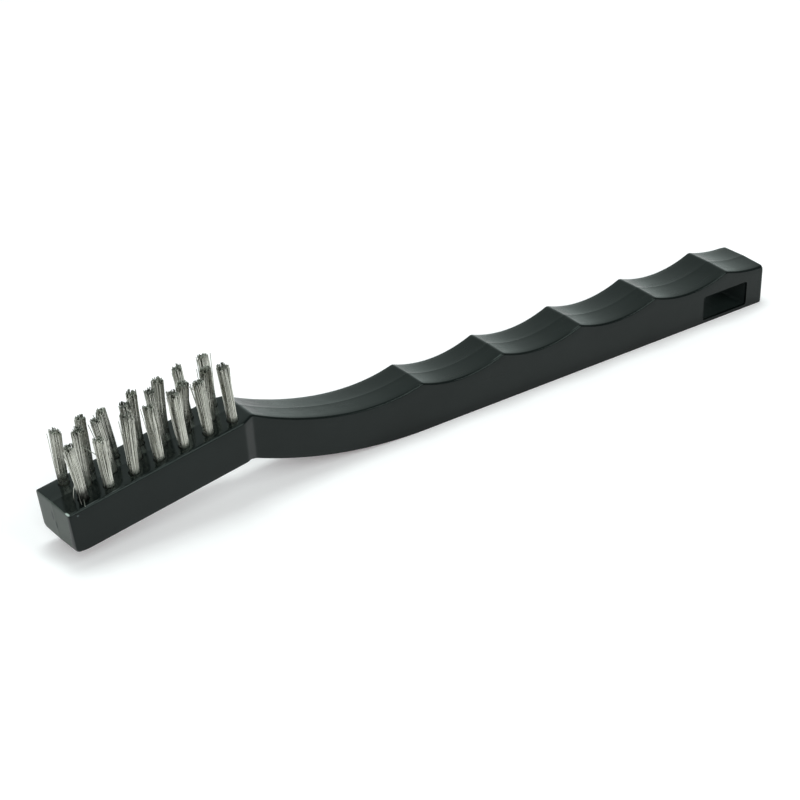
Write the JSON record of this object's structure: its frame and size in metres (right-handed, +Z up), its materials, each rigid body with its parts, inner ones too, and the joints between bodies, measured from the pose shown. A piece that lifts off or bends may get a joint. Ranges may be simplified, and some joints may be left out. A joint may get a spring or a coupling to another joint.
{
  "type": "wire scratch brush",
  "caption": "Toothbrush-style hand brush with stiff steel wire tufts in a pitched head, a curved neck and a ridged plastic grip with a hanging slot.",
  "frame": {"origin": "halfway along the brush and across it, on the plane of the grip's flat underside, which it lies on", "axes": "+X from the tip of the head to the end of the grip, +Y across the brush, +Z up, the way the wires point"},
  "size_m": [0.184, 0.013, 0.0314],
  "materials": {
    "handle_plastic": "moulded black plastic, satin gloss",
    "steel_wire": "drawn stainless wire with cut ends",
    "anchor_metal": "flat plated anchor wire, sheared"
  },
  "bodies": {
    "root": {"anchor_left_1": "anchor_metal", "anchor_left_2": "anchor_metal", "anchor_left_3": "anchor_metal", "anchor_left_4": "anchor_metal", "anchor_left_5": "anchor_metal", "anchor_left_6": "anchor_metal", "anchor_left_7": "anchor_metal", "anchor_middle_1": "anchor_metal", "anchor_middle_2": "anchor_metal", "anchor_middle_3": "anchor_metal", "anchor_middle_4": "anchor_metal", "anchor_middle_5": "anchor_metal", "anchor_middle_6": "anchor_metal", "anchor_right_1": "anchor_metal", "anchor_right_2": "anchor_metal", "anchor_right_3": "anchor_metal", "anchor_right_4": "anchor_metal", "anchor_right_5": "anchor_metal", "anchor_right_6": "anchor_metal", "anchor_right_7": "anchor_metal", "handle": "handle_plastic", "tuft_left_1": "steel_wire", "tuft_left_2": "steel_wire", "tuft_left_3": "steel_wire", "tuft_left_4": "steel_wire", "tuft_left_5": "steel_wire", "tuft_left_6": "steel_wire", "tuft_left_7": "steel_wire", "tuft_middle_1": "steel_wire", "tuft_middle_2": "steel_wire", "tuft_middle_3": "steel_wire", "tuft_middle_4": "steel_wire", "tuft_middle_5": "steel_wire", "tuft_middle_6": "steel_wire", "tuft_right_1": "steel_wire", "tuft_right_2": "steel_wire", "tuft_right_3": "steel_wire", "tuft_right_4": "steel_wire", "tuft_right_5": "steel_wire", "tuft_right_6": "steel_wire", "tuft_right_7": "steel_wire"}
  },
  "joints": []
}
